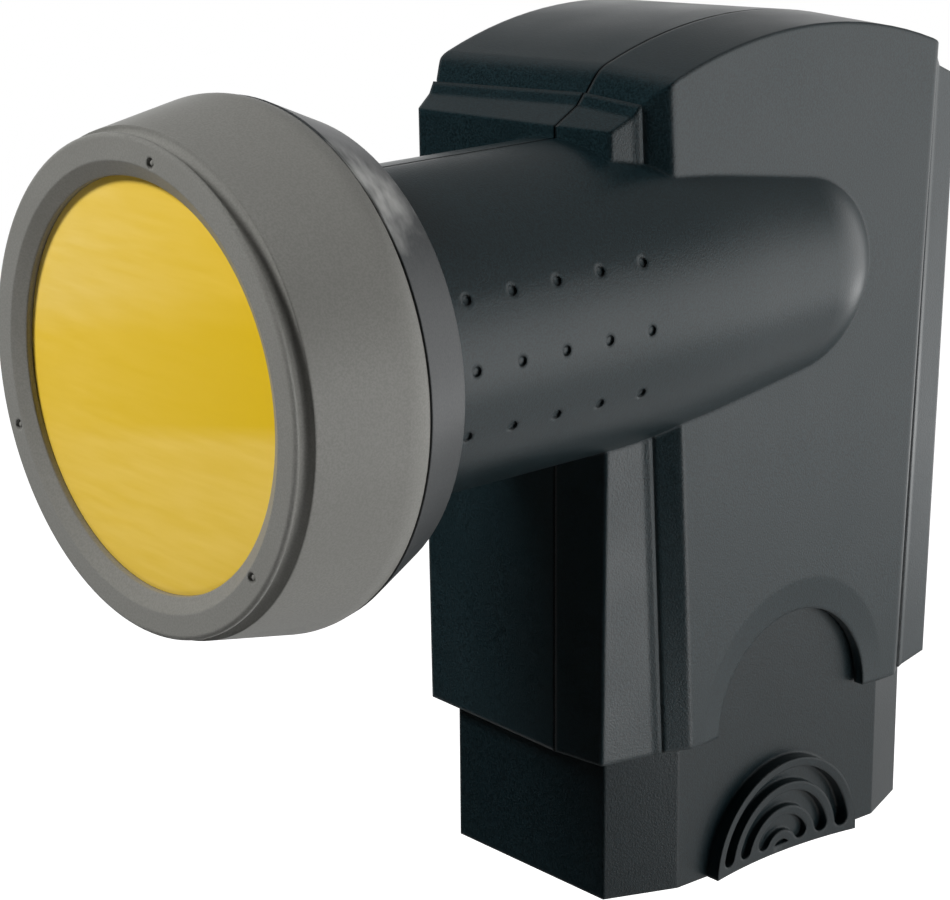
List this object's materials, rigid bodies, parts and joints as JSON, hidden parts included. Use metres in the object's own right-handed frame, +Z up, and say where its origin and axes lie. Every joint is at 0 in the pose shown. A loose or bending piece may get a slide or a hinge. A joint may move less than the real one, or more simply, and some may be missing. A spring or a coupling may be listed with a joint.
{
  "type": "satellite lnb",
  "caption": "Satellite LNB with a round clamp neck, grey feed cap with a yellow window, split dark housing and a sliding weather shield over its threaded cable connectors.",
  "frame": {"origin": "middle of the clamp neck, on the horn axis", "axes": "+Y along the horn axis towards the rear, +Z up, +X to the side with the grip; the feed cap points to -Y"},
  "size_m": [0.062, 0.1294, 0.114],
  "materials": {
    "housing_right": "fine matte texture",
    "housing_left": "fine matte texture",
    "weather_shield": "fine matte texture",
    "feed_cap": "satin",
    "window_film": "satin film",
    "cap_collar": "satin",
    "seal": "matte",
    "casting": "die-cast",
    "connector_plate": "die-cast",
    "chassis_lid": "rolled sheet",
    "screw": "zinc plated",
    "circuit_board": "solder mask",
    "probe": "plated",
    "insulator": "matte",
    "chip": "matte",
    "crystal": "plated",
    "choke": "matte",
    "connector": "nickel plated"
  },
  "bodies": {
    "lnb": {"housing_right": "housing_right", "housing_left": "housing_left", "feed_cap": "feed_cap", "window_film": "window_film", "cap_collar": "cap_collar", "cap_seal": "seal", "chassis": "casting", "connector_plate": "connector_plate", "lid_gasket": "seal", "chassis_lid": "chassis_lid", "lid_screws": "screw", "circuit_board": "circuit_board", "probe_straight": "probe", "probe_bent": "probe", "probe_bushes": "insulator", "isolation_rod": "probe", "lna_transistors": "chip", "converter_chips": "chip", "switch_chip": "chip", "reference_crystal": "crystal", "regulator": "chip", "chokes": "choke", "f_connector_1": "connector", "f_connector_2": "connector", "f_connector_3": "connector", "f_connector_4": "connector", "f_insulator_1": "insulator", "f_insulator_2": "insulator", "f_insulator_3": "insulator", "f_insulator_4": "insulator", "f_contact_1": "probe", "f_contact_2": "probe", "f_contact_3": "probe", "f_contact_4": "probe"},
    "shield": {"weather_shield": "weather_shield"}
  },
  "joints": [
    {"name": "shield_slide", "type": "slide", "parent": "lnb", "child": "shield", "axis": [0, 0, 1], "range_m": [0, 0.0203]}
  ]
}
